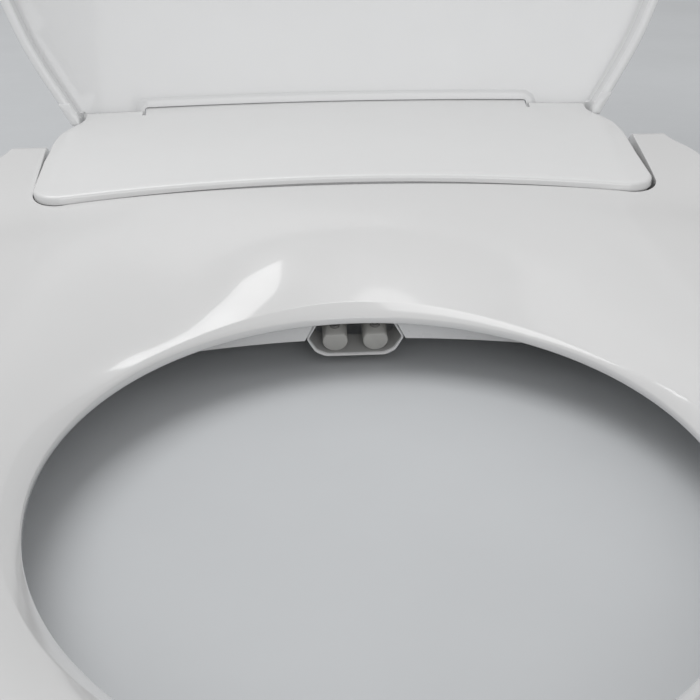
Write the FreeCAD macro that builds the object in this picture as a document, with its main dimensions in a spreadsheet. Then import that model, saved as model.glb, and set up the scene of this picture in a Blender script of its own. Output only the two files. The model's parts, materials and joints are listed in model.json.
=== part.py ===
"""Electric bidet seat: base with wash unit, hinged seat ring and hinged lid.

Frame: origin midway between the two mounting bolts on the china plane, X to the
right, Y to the rear, Z up, millimetres.  The lid stands open and the seat is down.
"""
import FreeCAD, Part
import math
import os
import re
import Sketcher
from FreeCAD import Placement, Rotation, Vector

DIMENSIONS = {
    # seat ring and its opening
    "seat_centre_y": -262.6, "opening_half_width": 110.9, "opening_rear": 136.3, "opening_front": 142.0,
    "seat_half_width": 190.0, "seat_front": 205.0, "edge_bottom": 23.6, "edge_band": 2.9,
    "crease_height": 31.5, "flank_width": 5.0, "ring_top": 44.0, "platform_rise": 0.16,
    "platform_start": -145.0, "crown_part": 0.52, "outer_fall": 14.0, "seat_skin": 3.0,
    "belly_bottom": 15.0, "skirt_bottom": 17.5, "ear_radius": 25.0, "ear_inner": 150.3,
    "ear_outer": 166.0, "ear_rear": 30.0,
    # hinge axes
    "seat_axis_y": 5.0, "seat_axis_z": 45.0, "lid_axis_y": 36.0, "lid_axis_z": 62.0,
    "seat_pin_radius": 5.0, "lid_pin_radius": 3.0, "running_gap": 0.06,
    # top panel
    "panel_front": -40.2, "panel_bow": 15.2, "panel_half_front": 146.0, "panel_half_width": 147.6,
    "panel_height": 64.5, "panel_slope": 0.115, "panel_crown": 2.5, "panel_skin": 3.4,
    "panel_rear": 79.0, "leg_edge": 64.5, "leg_inner": 104.0, "leg_outer": 135.3, "swing_gap": 0.9,
    # base
    "base_half_width": 146.4, "base_front": -114.0, "deck_height": 20.5, "deck_angle": 19.0,
    "front_floor": 11.7, "tray_floor": 4.6, "tray_top": 16.0, "wing_half_width": 172.0,
    "wing_front": -66.5, "wing_rear": 72.0, "wall": 2.4,
    # wash nozzles
    "tip_y": -114.5, "tip_z": 10.7, "nozzle_radius": 5.45, "nozzle_spacing": 17.5, "nozzle_length": 138.0,
    "rack_start": 60.0, "rack_module": 1.0, "pinion_teeth": 10.0,
    "contact_reach": 63.0, "mouth_half_width": 21.6, "mouth_bottom": 4.7, "mouth_depth": 12.0,
    # lid, measured from its hinge axis
    "lid_open_angle": 105.0, "lid_inner": 27.6, "lid_skin": 3.5, "rim_depth": 16.5, "rim_width": 5.0,
    "arm_inner": 32.0, "arm_wall": 4.0, "arm_left": 107.0, "arm_right": 131.0, "hub_radius": 4.6,
    "lid_length": 505.0,
    # mounting
    "bolt_spacing": 140.0, "bolt_hole": 8.6, "bracket_width": 176.0, "bracket_depth": 56.0,
    "bracket_thickness": 4.0, "inlet_radius": 10.4, "cord_bore": 3.6,
}

doc = FreeCAD.newDocument("BidetSeat")
sheet = doc.addObject("Spreadsheet::Sheet", "Sizes")
for row, (alias, value) in enumerate(DIMENSIONS.items(), start=1):
    sheet.set(f"A{row}", alias)
    sheet.set(f"B{row}", str(value))
    sheet.setAlias(f"B{row}", alias)
doc.recompute()

SUBPARTS = []


def dim(alias):
    """Value of a driving dimension, read from the sheet."""
    return float(sheet.get(alias))


def formula(text):
    """Expression text with each dimension's name pointed at the sheet."""
    def sheet_cell(word):
        return f"Sizes.{word[0]}" if word[0] in DIMENSIONS else word[0]
    return re.sub(r"[a-z_]{3,}", sheet_cell, text)


def bind(thing, prop, value):
    """Give a property its number, or bind it to the sheet where the value is text."""
    thing.setExpression(prop, formula(str(value)))


def place(thing, at=(0, 0, 0), turn=None):
    """Bind an object's position; turn is (axis letter, angle)."""
    for letter, value in zip("xyz", at):
        bind(thing, f"Placement.Base.{letter}", value)
    if turn:
        letter, angle = turn
        for name in "xyz":
            bind(thing, f"Placement.Rotation.Axis.{name}", 1 if name == letter else 0)
        bind(thing, "Placement.Rotation.Angle", angle)
    return thing


def box(name, size, at, turn=None):
    """Box of size (x, y, z) from its lowest corner."""
    solid = doc.addObject("Part::Box", name)
    for prop, value in zip(("Length", "Width", "Height"), size):
        bind(solid, prop, value)
    return place(solid, at, turn)


def cylinder(name, radius, length, at, along="z"):
    """Cylinder from its base centre along +X, +Y or +Z."""
    solid = doc.addObject("Part::Cylinder", name)
    bind(solid, "Radius", radius)
    bind(solid, "Height", length)
    turns = {"z": None, "x": ("y", 90), "y": ("x", -90)}
    return place(solid, at, turns[along])


def join(name, things):
    """Fuse of two or more objects."""
    result = doc.addObject("Part::MultiFuse", name)
    result.Shapes = things
    return result


def group(name, things):
    """Separate solids kept together in one node."""
    result = doc.addObject("Part::Compound", name)
    result.Links = things
    return result


def cut(name, base, tools):
    """Base with every tool taken away."""
    result = doc.addObject("Part::Cut", name)
    result.Base = base
    result.Tool = tools[0] if len(tools) == 1 else join(f"{name}_tools", tools)
    return result


def subpart(thing, label):
    """Register an object as a sub-part under its node name."""
    thing.Label = label
    SUBPARTS.append(thing)
    return thing


def feature(label, shape, placement=None):
    """Sub-part whose shape comes from Part's own functions."""
    thing = doc.addObject("Part::Feature", label)
    thing.Shape = shape
    if placement:
        thing.Placement = placement
    return subpart(thing, label)


def origin_plane(body, role):
    """One of a body's own origin planes."""
    return next(plane for plane in body.Origin.OriginFeatures if plane.Role == role)


def profile(body, name, points, role="XY_Plane"):
    """Closed polygon sketch whose corners are bound to the sheet."""
    sketch = body.newObject("Sketcher::SketchObject", name)
    sketch.AttachmentSupport = [(origin_plane(body, role), "")]
    sketch.MapMode = "FlatFace"
    spots = [(evaluate(u), evaluate(v)) for u, v in points]
    for (u, v), (u_next, v_next) in zip(spots, spots[1:] + spots[:1]):
        sketch.addGeometry(Part.LineSegment(Vector(u, v, 0), Vector(u_next, v_next, 0)), False)
    for number in range(len(spots)):
        sketch.addConstraint(Sketcher.Constraint("Coincident", number, 2, (number + 1) % len(spots), 1))
    for number, (place_at, texts) in enumerate(zip(spots, points)):
        for kind, value, text in zip(("DistanceX", "DistanceY"), place_at, texts):
            row = sketch.addConstraint(Sketcher.Constraint(kind, -1, 1, number, 1, value))
            sketch.setExpression(f"Constraints[{row}]", formula(str(text)))
    return sketch


scratch_cell = f"B{len(DIMENSIONS) + 2}"


def evaluate(text):
    """Number that an expression over the sheet gives."""
    if not isinstance(text, str):
        return float(text)
    names = sorted((name for name in DIMENSIONS if name in text), key=len, reverse=True)
    for name in names:
        text = re.sub(rf"\b{name}\b", repr(dim(name)), text)
    sheet.set(scratch_cell, f"={text}")
    doc.recompute()
    return float(sheet.get(scratch_cell))


def pad(name, points, length, role="XY_Plane", at=(0, 0, 0), turn=None):
    """PartDesign body: a polygon profile padded along its plane's normal."""
    body = doc.addObject("PartDesign::Body", name)
    sketch = profile(body, f"{name}_profile", points, role)
    solid = body.newObject("PartDesign::Pad", f"{name}_pad")
    solid.Profile = sketch
    bind(solid, "Length", length)
    return place(body, at, turn)


def turned(name, points, at=(0, 0, 0), turn=None, axis="Z_Axis", role="XZ_Plane"):
    """PartDesign body: a profile revolved once about an origin axis."""
    body = doc.addObject("PartDesign::Body", name)
    sketch = profile(body, f"{name}_profile", points, role)
    solid = body.newObject("PartDesign::Revolution", f"{name}_turn")
    solid.Profile = sketch
    solid.ReferenceAxis = (origin_plane(body, axis), [""])
    solid.Angle = 360
    return place(body, at, turn)


# --- curves and surfaces shared by the shells --------------------------------------------------

def spline_wire(points, closed=True):
    """Smooth curve through points."""
    curve = Part.BSplineCurve()
    curve.interpolate(points, PeriodicFlag=closed)
    return Part.Wire([curve.toShape()])


def prism(wire, bottom, top):
    """Solid between two heights over a closed plan outline drawn at z = 0."""
    face = Part.Face(wire)
    face.translate(Vector(0, 0, bottom))
    return face.extrude(Vector(0, 0, top - bottom))


def opening_point(angle, grow, height=0.0):
    """Point of the seat's opening, an ellipse-like curve, grown outward by grow."""
    half = dim("opening_half_width") + grow
    reach = (dim("opening_rear") if math.sin(angle) >= 0 else dim("opening_front")) + grow
    return Vector(half * math.cos(angle), dim("seat_centre_y") + reach * math.sin(angle), height)


def opening_wire(grow, height=0.0, count=48):
    """Closed curve of the seat's opening."""
    return spline_wire([opening_point(2 * math.pi * k / count, grow, height) for k in range(count)])


def outline_wire(inset=0.0, count=24):
    """Seat outline: a squarish front half-ellipse, long sides and the two ears' corners."""
    power = 2.3
    half = dim("seat_half_width") - inset
    reach = dim("seat_front") - inset
    front = []
    for k in range(count + 1):
        angle = math.pi * (1 + k / count)
        across, along = math.cos(angle), math.sin(angle)
        front.append(Vector(math.copysign(abs(across) ** (2 / power), across) * half,
                            dim("seat_centre_y") - abs(along) ** (2 / power) * reach, 0))
    ear = dim("ear_outer") - inset
    rear = dim("ear_rear") + 6
    side = [Vector(half, dim("seat_centre_y"), 0), Vector(half - 1.0, -150, 0),
            Vector(half - 4.0, -60, 0),
            Vector(ear + 11, -14, 0), Vector(ear + 1, 8, 0)]
    right = Part.BSplineCurve()
    right.interpolate(side, InitialTangent=Vector(0, 1, 0), FinalTangent=Vector(-0.3, 1, 0))
    mirrored = [Vector(-p.x, p.y, 0) for p in side]
    left = Part.BSplineCurve()
    left.interpolate(mirrored, InitialTangent=Vector(0, 1, 0), FinalTangent=Vector(0.3, 1, 0))
    bow = Part.BSplineCurve()
    bow.interpolate(front)
    ends = [side[-1], Vector(ear - 1, rear, 0), Vector(1 - ear, rear, 0), mirrored[-1]]
    straight = [Part.LineSegment(a, b).toShape() for a, b in zip(ends, ends[1:])]
    return Part.Wire(Part.__sortEdges__([bow.toShape(), right.toShape(), *straight, left.toShape()]))


def seat_height(x, y):
    """Height of the seat's top surface: crest of the ring, rising rear platform, falling outer edge."""
    away = y - dim("seat_centre_y")
    angle = math.atan2(away, x)
    distance = math.hypot(x, away)
    grow = dim("flank_width")

    def reach(half, rear, front, power_rear, power_front):
        run, power = (rear, power_rear) if away >= 0 else (front, power_front)
        across, along = abs(math.cos(angle)), abs(math.sin(angle))
        return ((across / half) ** power + (along / run) ** power) ** (-1 / power)

    inner = reach(dim("opening_half_width") + grow, dim("opening_rear") + grow,
                  dim("opening_front") + grow, 2, 2)
    outer = reach(dim("seat_half_width"), 30 - dim("seat_centre_y"), dim("seat_front"), 4.6, 2.3)
    part = (distance - inner) / (outer - inner)
    crown = dim("crown_part")
    rise = 1 - ((crown - part) / crown) ** 2 if part < crown else 1.0
    softness = 22.0
    along = (y - dim("platform_start")) / softness
    crest = dim("ring_top") + dim("platform_rise") * softness * math.log1p(math.exp(along))
    fall = dim("outer_fall") * min(max((part - crown) / (1 - crown), 0), 1.6) ** 2.5
    on_ring = 1 / (1 + math.exp((y + 75) / 18))
    crease = dim("crease_height")
    return crease + (crest - crease) * max(rise, -1.5) - fall * on_ring


def under_surface(height, x_range, y_range, depth, lower=0.0):
    """Solid that fills everything below a height function, down by depth."""
    def stations(span, count):
        return [span[0] + (span[1] - span[0]) * k / count for k in range(count + 1)]
    grid = [[Vector(x, y, height(x, y) - lower) for y in stations(y_range, 56)]
            for x in stations(x_range, 44)]
    surface = Part.BSplineSurface()
    surface.interpolate(grid)
    return surface.toShape().extrude(Vector(0, 0, -depth))


def seat_skin(lower):
    """Solid below the seat's top surface."""
    return under_surface(seat_height, (-200, 200), (-480, 48), 90, lower)


def panel_height(x, y):
    """Top panel: rises to the rear, slightly crowned across."""
    return (dim("panel_height") + dim("panel_slope") * (y - dim("panel_front"))
            - dim("panel_crown") * (x / 140) ** 2)


def panel_skin(lower):
    """Solid below the panel's surface; the skin is deeper towards the sides."""
    return under_surface(lambda x, y: panel_height(x, y) - lower * (1 + 0.3 * (x / 150) ** 2),
                         (-160, 160), (-70, 90), 90)


def front_bow(x):
    """Y of the panel's bowed front edge."""
    return dim("panel_front") - dim("panel_bow") * (x / 150) ** 2


def panel_wire(inset=0.0):
    """Panel outline: bowed front, rounded front corners, tapering rear corners, two leg recesses."""
    corner = 131.0
    half_front, half = dim("panel_half_front") - inset, dim("panel_half_width") - inset
    bow = Part.BSplineCurve()
    bow.interpolate([Vector(x, front_bow(x) + inset, 0) for x in
                     [-corner + 2 * corner * k / 12 for k in range(13)]])
    start = Vector(corner, front_bow(corner) + inset, 0)
    middle = Vector(half_front - 3.6, front_bow(corner) + inset + 4.0, 0)
    end = Vector(half_front, -38 + inset, 0)
    outer_side = dim("leg_outer") - inset
    points = [end, Vector(half, 22, 0), Vector(half - 2.6, 34, 0), Vector(outer_side + 3, 48, 0),
              Vector(outer_side, 53, 0), Vector(outer_side, dim("leg_edge") - inset, 0),
              Vector(dim("leg_inner") - inset, dim("leg_edge") - inset, 0),
              Vector(dim("leg_inner") - inset, dim("panel_rear") - inset, 0)]
    edges = [bow.toShape(), Part.Arc(start, middle, end).toShape()]
    mirror = [Vector(-p.x, p.y, 0) for p in points]
    edges.append(Part.Arc(*[Vector(-p.x, p.y, 0) for p in (start, middle, end)]).toShape())
    chain = points + list(reversed(mirror))
    edges += [Part.LineSegment(a, b).toShape() for a, b in zip(chain, chain[1:])]
    return Part.Wire(Part.__sortEdges__(edges))


def swing_barrel(extra=0.0):
    """Round space about the seat's hinge axis that the seat leaves free for the panel and housing."""
    axis_y, lift = dim("seat_axis_y"), 17.0
    corner = 133.0
    top = []
    for k in range(13):
        x = -corner + 2 * corner * k / 12
        top.append(Vector(x, math.hypot(axis_y - front_bow(x), lift) + dim("swing_gap") + extra, 0))
    curve = Part.BSplineCurve()
    curve.interpolate(top)
    shoulder = top[-1].y
    side = dim("panel_half_front") + 1.7 + extra
    arc_middle, arc_end = (side - 3.8, shoulder - 4.2), (side, shoulder - 14)
    wide = dim("ear_inner") + extra

    def corner_arc(sign):
        spots = ((corner, shoulder), arc_middle, arc_end)
        return Part.Arc(*[Vector(sign * x, radius, 0) for x, radius in spots]).toShape()
    chain = [Vector(*arc_end, 0), Vector(wide, 22, 0), Vector(wide, 0, 0), Vector(-wide, 0, 0),
             Vector(-wide, 22, 0), Vector(-arc_end[0], arc_end[1], 0)]
    edges = [curve.toShape(), corner_arc(1), corner_arc(-1)]
    edges += [Part.LineSegment(a, b).toShape() for a, b in zip(chain, chain[1:])]
    half = Part.Face(Part.Wire(Part.__sortEdges__(edges)))
    barrel = half.revolve(Vector(0, 0, 0), Vector(1, 0, 0), 360)
    barrel.translate(Vector(0, axis_y, dim("seat_axis_z")))
    return barrel


def deck_space(lift=0.0):
    """Solid below the sloping deck plane, raised by lift."""
    slab = Part.makeBox(500, 260, 120, Vector(-250, -60, -120))
    slab.Placement = Placement(Vector(0, dim("base_front"), dim("deck_height") + lift),
                               Rotation(Vector(1, 0, 0), dim("deck_angle")))
    return slab


def axis_cylinder(radius, start, end, y, z):
    """Solid cylinder along X."""
    return Part.makeCylinder(radius, end - start, Vector(start, y, z), Vector(1, 0, 0))


def both_sides(shape):
    """The shape and its mirror image across the YZ plane."""
    return [shape, shape.mirror(Vector(0, 0, 0), Vector(1, 0, 0))]


# --- seat ----------------------------------------------------------------------------------------

def ear_round(inset):
    """Limit of the ears behind the hinge axis: round about it."""
    radius = dim("ear_radius") - inset
    y, z = dim("seat_axis_y"), dim("seat_axis_z")
    forward = Part.makeBox(420, 500, 140, Vector(-210, y - 500, -20))
    return axis_cylinder(radius, -210, 210, y, z).fuse(forward)


def seat_block(inset, lower, bottom):
    """Seat body between its outline, its opening, its top surface and a flat bottom."""
    block = prism(outline_wire(inset), bottom, 90).common(seat_skin(lower))
    return block.common(ear_round(inset)).cut(prism(opening_wire(inset), 0, 100))


def seat_upper_shell():
    skin, band = dim("seat_skin"), dim("edge_bottom")
    block = seat_block(0, 0, dim("skirt_bottom"))
    low = dim("edge_bottom") + dim("edge_band")
    grow = dim("flank_width")
    flare = Part.makeLoft([opening_wire(0, low), opening_wire(grow, dim("crease_height")),
                           opening_wire(grow, dim("crease_height") + 8)], True, True)
    block = block.cut(flare)
    core = seat_block(skin, skin, 0).cut(prism(opening_wire(grow + 2), 0, 100)).cut(swing_barrel(skin))
    undercut = prism(opening_wire(grow + 2.5), 0, band)
    shell = block.cut(core).cut(swing_barrel()).cut(undercut)
    keep_out = Part.makeBox(2 * (dim("base_half_width") + 3.6), 140, 120,
                            Vector(-dim("base_half_width") - 3.6, dim("base_front") - 19, -20))
    shell = shell.cut(keep_out.common(deck_space(3.2)))
    ear_bottom = Part.makeBox(60, 80, 20, Vector(140, -30, 0))
    shell = shell.cut(Part.Compound(both_sides(ear_bottom))).cut(
        Part.Compound(both_sides(axis_cylinder(8.3, 140, 163.2, dim("seat_axis_y"), dim("seat_axis_z")))))
    return feature("seat_upper_shell", largest(shell))


def largest(shape):
    """The biggest solid of a result, so that no loose sliver stays."""
    return max(shape.Solids, key=lambda solid: solid.Volume)


def seat_lower_shell():
    gap, wall = dim("seat_skin") + 0.3, 2.4
    belly, flat = dim("belly_bottom"), dim("edge_bottom") + 0.2
    lip, pan = dim("flank_width") + 3, dim("flank_width") + 30
    ring = prism(outline_wire(gap + 1), belly, flat + 4).cut(prism(opening_wire(pan), 0, 60))
    hollow = prism(outline_wire(gap + 1 + wall), belly + wall, 60)
    ring = ring.cut(hollow.cut(prism(opening_wire(pan + wall), 0, 60)))
    flange = prism(opening_wire(pan + wall), flat, flat + wall).cut(prism(opening_wire(lip), 0, 60))
    ring = ring.fuse(flange).cut(Part.makeBox(500, 400, 80, Vector(-250, dim("base_front") - 19, -10)))
    reach = dim("base_front") - 19 - wall
    plate = deck_space(5.8).cut(deck_space(3.3))
    plate = plate.common(Part.makeBox(298, 110, 90, Vector(-149, reach - 1, flat)))
    plate = plate.fuse(Part.makeBox(298, 24, wall, Vector(-149, reach - 1, flat)))
    plate = plate.common(prism(outline_wire(gap), 0, 90)).common(seat_skin(gap))
    plate = plate.cut(swing_barrel(0.4)).cut(prism(opening_wire(lip), 0, 60))
    wings = Part.makeBox(60, 100, wall, Vector(149.2, reach, 21)).common(prism(outline_wire(gap), 0, 60))
    shape = ring.fuse([plate] + both_sides(wings))
    return shape


def knuckles():
    """Hinge blocks inside the ears, bored for their bushings."""
    y, z = dim("seat_axis_y"), dim("seat_axis_z")
    block = axis_cylinder(dim("ear_radius") - 7, dim("ear_inner") + 3.6, 161.6, y, z)
    return both_sides(block.cut(axis_cylinder(8.0, 150, 170, y, z)))


def build_seat():
    shell = seat_upper_shell()
    feature("seat_lower_shell", largest(seat_lower_shell().cut(shell.Shape)))
    feature("seat_hinge_knuckles", Part.Compound([k for k in knuckles()]))
    heater = prism(outline_wire(22), 0, 90).common(seat_skin(3.3)).cut(seat_skin(3.9))
    heater = heater.cut(prism(opening_wire(26), 0, 100)).common(
        Part.makeBox(500, 370, 100, Vector(-250, -470, 0)))
    feature("seat_heater_foil", largest(heater.cut(shell.Shape)))
    bushings = []
    for side in (-1, 1):
        name = "left" if side < 0 else "right"
        bore, first = "seat_pin_radius + running_gap", 3.6 if side > 0 else 11.8
        ring = turned(f"bushing_{name}", [(bore, 0), (7.95, 0), (7.95, 8.2), (bore, 8.2)],
                      (f"{side} * (ear_inner + {first})", "seat_axis_y", "seat_axis_z"), ("y", 90))
        bushings.append(ring)
    subpart(group("seat_bushings_set", bushings), "seat_hinge_bushings")
    pads = []
    for x, y in ((-158, -190), (158, -190), (-110, -412), (110, -412)):
        name = f"bumper_{len(pads)}"
        top = "belly_bottom - 0.6"
        pads.append(turned(name, [(0, 0), (7, 0), (9, 1.5), (9, top), (0, top)],
                           (x, y, 0.3)))
    subpart(group("bumpers_set", pads), "seat_bumpers")


# --- top panel and housing -----------------------------------------------------------------------

def base_wire(inset=0.0):
    """Base outline: front wall bowed towards the middle, rounded front corners, straight sides."""
    half = dim("base_half_width") - inset
    bow = [Vector(x, dim("base_front") + inset - 10.5 * (x / 73) ** 2, 0) for x in range(-84, 85, 14)]
    front = Part.BSplineCurve()
    front.interpolate(bow)
    side_y = bow[-1].y
    rear = Vector(half, -30, 0)
    corner = [bow[-1], Vector(half - 14, side_y + 10, 0), Vector(half, side_y + 42, 0)]
    edges = [front.toShape(), Part.Arc(*corner).toShape(),
             Part.Arc(*[Vector(-p.x, p.y, 0) for p in corner]).toShape(),
             Part.LineSegment(corner[2], rear).toShape(),
             Part.LineSegment(rear, Vector(-half, -30, 0)).toShape(),
             Part.LineSegment(Vector(-half, -30, 0), Vector(-half, side_y + 42, 0)).toShape()]
    return Part.Wire(Part.__sortEdges__(edges))


def top_panel():
    solid = prism(panel_wire(), 30, 100).common(panel_skin(0)).cut(panel_skin(dim("panel_skin")))
    front_edge = Part.makeBox(320, 60, 80, Vector(-160, -80, 20)).cut(swing_barrel(-0.5))
    solid = solid.cut(front_edge)
    return feature("top_panel", largest(solid))


def mouth_wire(grow=0.0, y=0.0):
    """Mouth of the nozzles: a wide octagon, taller at its middle corners."""
    half, low = dim("mouth_half_width") - 1.3 + grow, dim("mouth_bottom") - grow
    top_half, top = 16.2 + grow * 0.6, 19.0 + grow
    corners = [(half, 12.0), (top_half, top), (-top_half, top), (-half, 12.0),
               (-half + 4.4, low + 1.6), (-half + 7.5, low), (half - 7.5, low), (half - 4.4, low + 1.6)]
    shift = (y - dim("base_front")) * math.tan(math.radians(dim("deck_angle")))
    spots = [Vector(x, y, z + shift) for x, z in corners]
    return Part.makePolygon(spots + spots[:1])


def mouth_prism(grow, start, end):
    """Solid behind the mouth outline, running up to the rear beside the nozzles."""
    run = math.tan(math.radians(dim("deck_angle")))
    face = Part.Face(mouth_wire(grow, start))
    return face.extrude(Vector(0, end - start, (end - start) * run))


def rear_housing():
    wall = dim("wall")
    floor = dim("front_floor")

    def mass(inset, deck_drop, bottom):
        front = prism(base_wire(inset), bottom, 90).common(deck_space(-deck_drop))
        upper = prism(panel_wire(1.2 + inset), dim("tray_top") + 0.2 if inset == 0 else 0, 100)
        lowered = dim("panel_skin") + (0.15 if inset == 0 else -8)
        return front, upper.common(panel_skin(lowered))

    front, upper = mass(0, 0, floor)
    sides = Part.makeBox(2 * dim("base_half_width"), 60, 30,
                         Vector(-dim("base_half_width"), dim("wing_front") - 0.3, dim("tray_top") - 29.8))
    outer = front.cut(sides).fuse(upper)
    inner_front, inner_upper = mass(wall, wall, -5)
    walls = outer.cut(inner_front.fuse(inner_upper))
    pocket_left, pocket_right = dim("arm_left") - 1.7, dim("arm_right") + 1.2
    frame = Part.makeBox(pocket_right - pocket_left + 2 * wall, 62, 54,
                         Vector(pocket_left - wall, 16.6, 20.4)).common(upper)
    hollow = Part.makeBox(pocket_right - pocket_left, 80, 70, Vector(pocket_left, 19, 22.8))
    walls = walls.fuse(both_sides(frame)).cut(Part.Compound(both_sides(hollow)))
    seat_bore = axis_cylinder(dim("seat_pin_radius") + 0.05, 138, 152,
                              dim("seat_axis_y"), dim("seat_axis_z"))
    lid_bore = axis_cylinder(dim("lid_pin_radius") + 0.05, 100, 137, dim("lid_axis_y"), dim("lid_axis_z"))
    walls = walls.cut(Part.Compound(both_sides(seat_bore) + both_sides(lid_bore)))
    walls = walls.cut(mouth_prism(1.6, dim("base_front") - 20, dim("base_front") + 16))
    ports = [Part.makeCylinder(radius, 12, Vector(x, 70, z), Vector(0, 1, 0))
             for radius, x, z in ((8.2, -74, 32), (6.2, 74, 30), (7.2, -44, 26))]
    screws = [Part.makeCylinder(1.7, 6, Vector(x, -50, -5)) for x in (-120, 120)]
    walls = walls.cut(Part.Compound(ports + screws))
    return feature("rear_housing", largest(walls))


def base_tray():
    half, wing = dim("base_half_width"), dim("wing_half_width")
    wall, floor, top = dim("wall"), dim("tray_floor"), dim("tray_top")
    rear, front = dim("panel_rear") - 1.2, dim("wing_front")

    def plan(inset):
        corner = 9 - inset * 0.5
        edge = [(-wing + inset, front + inset), (wing - inset, front + inset), (wing - inset, dim("wing_rear") - inset),
                (dim("leg_outer"), rear - inset), (-dim("leg_outer"), rear - inset),
                (-wing + inset, dim("wing_rear") - inset)]
        solid = prism(Part.makePolygon([Vector(x, y, 0) for x, y in edge + edge[:1]]), 0, 60)
        upright = [e for e in solid.Edges
                   if abs(e.tangentAt(e.FirstParameter).z) > 0.9 and abs(e.Vertexes[0].X) > 150]
        return solid.makeFillet(max(corner, 1), upright)

    def level(inset, bottom, height):
        return plan(inset).common(Part.makeBox(500, 400, height - bottom, Vector(-250, -200, bottom)))

    tray = level(0, 0, top).cut(level(wall, -1, floor)).cut(level(wall, floor + wall, top - wall))
    open_top = Part.makeBox(2 * (half - wall), rear - front - 2 * wall, 20,
                            Vector(wall - half, front + wall, top - 5))
    tray = tray.cut(open_top.common(level(wall, 0, 60)))
    nose = prism(base_wire(wall + 2.0), dim("front_floor"), dim("front_floor") + wall)
    nose = nose.cut(Part.makeBox(400, 200, 40, Vector(-200, front + wall - 0.4, 0)))
    tray = tray.fuse(nose).cut(mouth_prism(1.6, dim("base_front") - 20, dim("base_front") + 34))
    holes = [Part.makeCylinder(4.25, 8, Vector(160, y, top - wall - 2)) for y in (38, 50, 62)]
    window = Part.makeCylinder(3.05, 8, Vector(147.5, 50, top - wall - 2))
    slot = Part.makeBox(10, 13, 5.6, Vector(wing - 6, -6.5, 7.6))
    screws = [Part.makeCylinder(1.7, 20, Vector(x, y, -5))
              for x, y in ((-120, -45), (120, -45), (-95, 66), (95, 66))]
    return feature("base_tray", largest(tray.cut(Part.Compound(holes + [window, slot] + screws))))


def nozzle_mouth():
    """Lip around the two nozzles, let into the front wall."""
    start, end = dim("base_front"), dim("base_front") + dim("mouth_depth")
    ring = mouth_prism(1.0, start - 0.2, end).cut(mouth_prism(0, start - 2, end + 2))
    return feature("nozzle_mouth", ring)


def build_case():
    top_panel()
    rear_housing()
    base_tray()
    nozzle_mouth()


# --- wash unit -----------------------------------------------------------------------------------

def nozzle_place(side, out=0.0, up=0.0):
    """Placement on the nozzle line: out along the nozzle from its tip, up at right angles to it."""
    slope = math.radians(dim("deck_angle"))
    return Placement(Vector(side * dim("nozzle_spacing") / 2,
                            dim("tip_y") + out * math.cos(slope) - up * math.sin(slope),
                            dim("tip_z") + out * math.sin(slope) + up * math.cos(slope)),
                     Rotation(Vector(1, 0, 0), dim("deck_angle")))


def on_nozzle_line(thing, side):
    """Bind an object to the nozzle line at the tip."""
    return place(thing, (f"{side} * nozzle_spacing / 2", "tip_y", "tip_z"), ("x", "deck_angle"))


RACK_DROP = 3.6


def nozzle(side, label):
    """Nozzle tube, its screwed-on tip and the toothed rack under it."""
    tip_length = 22.0
    tube = cylinder(f"{label}_tube", "nozzle_radius", f"nozzle_length - {tip_length}",
                    (0, tip_length + 0.15, 0), "y")
    bore = cylinder(f"{label}_bore", 1.4, "nozzle_length", (0, tip_length - 1, 0), "y")
    groove = box(f"{label}_groove", (5.2, "nozzle_length", 4.4),
                 (-2.6, "rack_start - 1", "-nozzle_radius - 1"))
    body = cut(f"{label}_barrel", tube, [bore, groove])
    subpart(on_nozzle_line(body, side), f"{label}_nozzle")
    rod = cylinder(f"{label}_tip_rod", "nozzle_radius", tip_length, (0, 0, 0), "y")
    facet = box(f"{label}_facet", (12, 30, 5), (-6, -0.5, "nozzle_radius - 1.3"), ("x", 5))
    port = cylinder(f"{label}_port", 0.8, 6, (0, 6.5, 1.5))
    channel = cylinder(f"{label}_channel", 1.6, 18, (0, 5, 0), "y")
    tip = cut(f"{label}_tip_body", rod, [facet, port, channel])
    subpart(on_nozzle_line(tip, side), f"{label}_nozzle_tip")
    pitch = math.pi * dim("rack_module")
    length = dim("nozzle_length") - dim("rack_start") - 1
    count = int(length / pitch)
    bar = Part.makeBox(4.6, length, 1.5, Vector(-2.3, dim("rack_start"), -RACK_DROP))
    teeth = []
    before = int((dim("contact_reach") - dim("rack_start")) / pitch)
    root, crest = -RACK_DROP + 0.1, -RACK_DROP - 1.7
    for k in range(count):
        centre = dim("contact_reach") + (k - before) * pitch
        flanks = ((-0.75, root), (0.75, root), (0.3, crest), (-0.3, crest))
        outline = [Vector(-2.3, centre + along, z) for along, z in flanks]
        teeth.append(Part.Face(Part.makePolygon(outline + outline[:1])).extrude(Vector(4.6, 0, 0)))
    feature(f"{label}_nozzle_rack", bar.fuse(teeth), nozzle_place(side))


def drive_pinion(side, label):
    """Pinion under the rack, on its motor's shaft."""
    teeth, module = int(dim("pinion_teeth")), dim("rack_module")
    pitch_radius = teeth * module / 2
    drop = RACK_DROP + 0.95 + pitch_radius
    core = Part.makeCylinder(pitch_radius - 1.15, 5, Vector(-2.5, 0, 0), Vector(1, 0, 0))
    outline = [Vector(-2.5, -0.95, pitch_radius - 1.6), Vector(-2.5, 0.95, pitch_radius - 1.6),
               Vector(-2.5, 0.3, pitch_radius + 0.7), Vector(-2.5, -0.3, pitch_radius + 0.7)]
    tooth = Part.Face(Part.makePolygon(outline + outline[:1])).extrude(Vector(5, 0, 0))
    for k in range(teeth):
        copy = tooth.copy()
        copy.rotate(Vector(0, 0, 0), Vector(1, 0, 0), 360 / teeth * (k + 0.5))
        core = core.fuse(copy)
    shaft = Part.makeCylinder(1.5, 12, Vector(2.5 if side > 0 else -14.5, 0, 0), Vector(1, 0, 0))
    feature(f"{label}_drive_pinion", core.fuse(shaft), nozzle_place(side, dim("contact_reach"), -drop))
    return drop


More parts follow.
